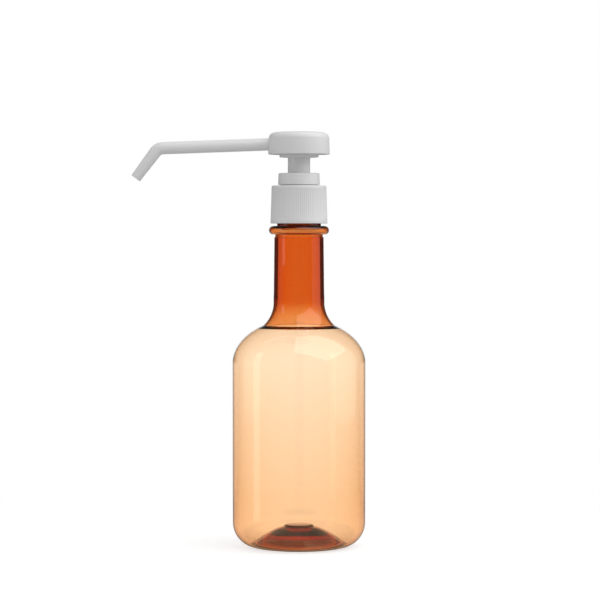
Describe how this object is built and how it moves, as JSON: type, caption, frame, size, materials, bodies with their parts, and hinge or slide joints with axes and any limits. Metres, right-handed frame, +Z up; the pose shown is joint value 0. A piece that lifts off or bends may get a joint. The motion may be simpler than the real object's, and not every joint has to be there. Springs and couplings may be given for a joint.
{
  "type": "pump bottle",
  "caption": "Round amber plastic bottle with a long beaded neck, a ribbed screw closure and a sprung push pump with a swivelling round head and a long bent spout.",
  "frame": {"origin": "on the bottle's axis, in the plane of the foot ring that it stands on", "axes": "+Z up along the bottle's axis; the spout points to -X; -Y is the side that the picture shows"},
  "size_m": [0.1334, 0.0758, 0.2371],
  "materials": {
    "amber_pet": "clear amber, glossy",
    "white_pp": "white, satin moulded",
    "natural_pp": "natural, matt moulded",
    "clear_tube": "clear extruded tube",
    "spring_steel": "drawn stainless wire",
    "valve_glass": "ground glass ball",
    "soft_seal": "soft, matt"
  },
  "bodies": {
    "bottle": {"bottle": "amber_pet"},
    "pump_body": {"cylinder": "natural_pp", "collar": "white_pp", "gasket": "soft_seal", "dip_tube": "clear_tube", "ball_cage": "natural_pp", "return_spring": "spring_steel"},
    "closure": {"closure": "white_pp"},
    "piston": {"piston": "soft_seal"},
    "head": {"plunger": "natural_pp", "stem": "white_pp", "actuator_core": "white_pp", "head_cover": "white_pp", "spout": "white_pp"},
    "inlet_ball": {"inlet_ball": "valve_glass"},
    "outlet_ball": {"outlet_ball": "valve_glass"}
  },
  "joints": [
    {"name": "pump_lift", "type": "slide", "parent": "bottle", "child": "pump_body", "axis": [0, 0, 1], "range_m": [0, 0.00635]},
    {"name": "closure_turn", "type": "hinge", "parent": "pump_body", "child": "closure", "pos_m": [0, 0, 0.195], "axis": [0, 0, 1], "range_deg": [0, 540]},
    {"name": "pump_stroke", "type": "slide", "parent": "pump_body", "child": "piston", "axis": [0, 0, -1], "range_m": [0, 0.008], "stiffness_N_per_m": 600, "springref_m": -0.008, "deforming": ["return_spring"]},
    {"name": "head_swivel", "type": "hinge", "parent": "piston", "child": "head", "pos_m": [0, 0, 0.23], "axis": [0, 0, 1], "continuous": true},
    {"name": "inlet_valve", "type": "slide", "parent": "pump_body", "child": "inlet_ball", "axis": [0, 0, 1], "range_m": [0, 0.0009]},
    {"name": "outlet_valve", "type": "slide", "parent": "head", "child": "outlet_ball", "axis": [0, 0, 1], "range_m": [0, 0.0009]}
  ],
  "couplings": [
    {"joint": "pump_lift", "follows": "closure_turn", "m_per_rad": 0.0006737}
  ]
}
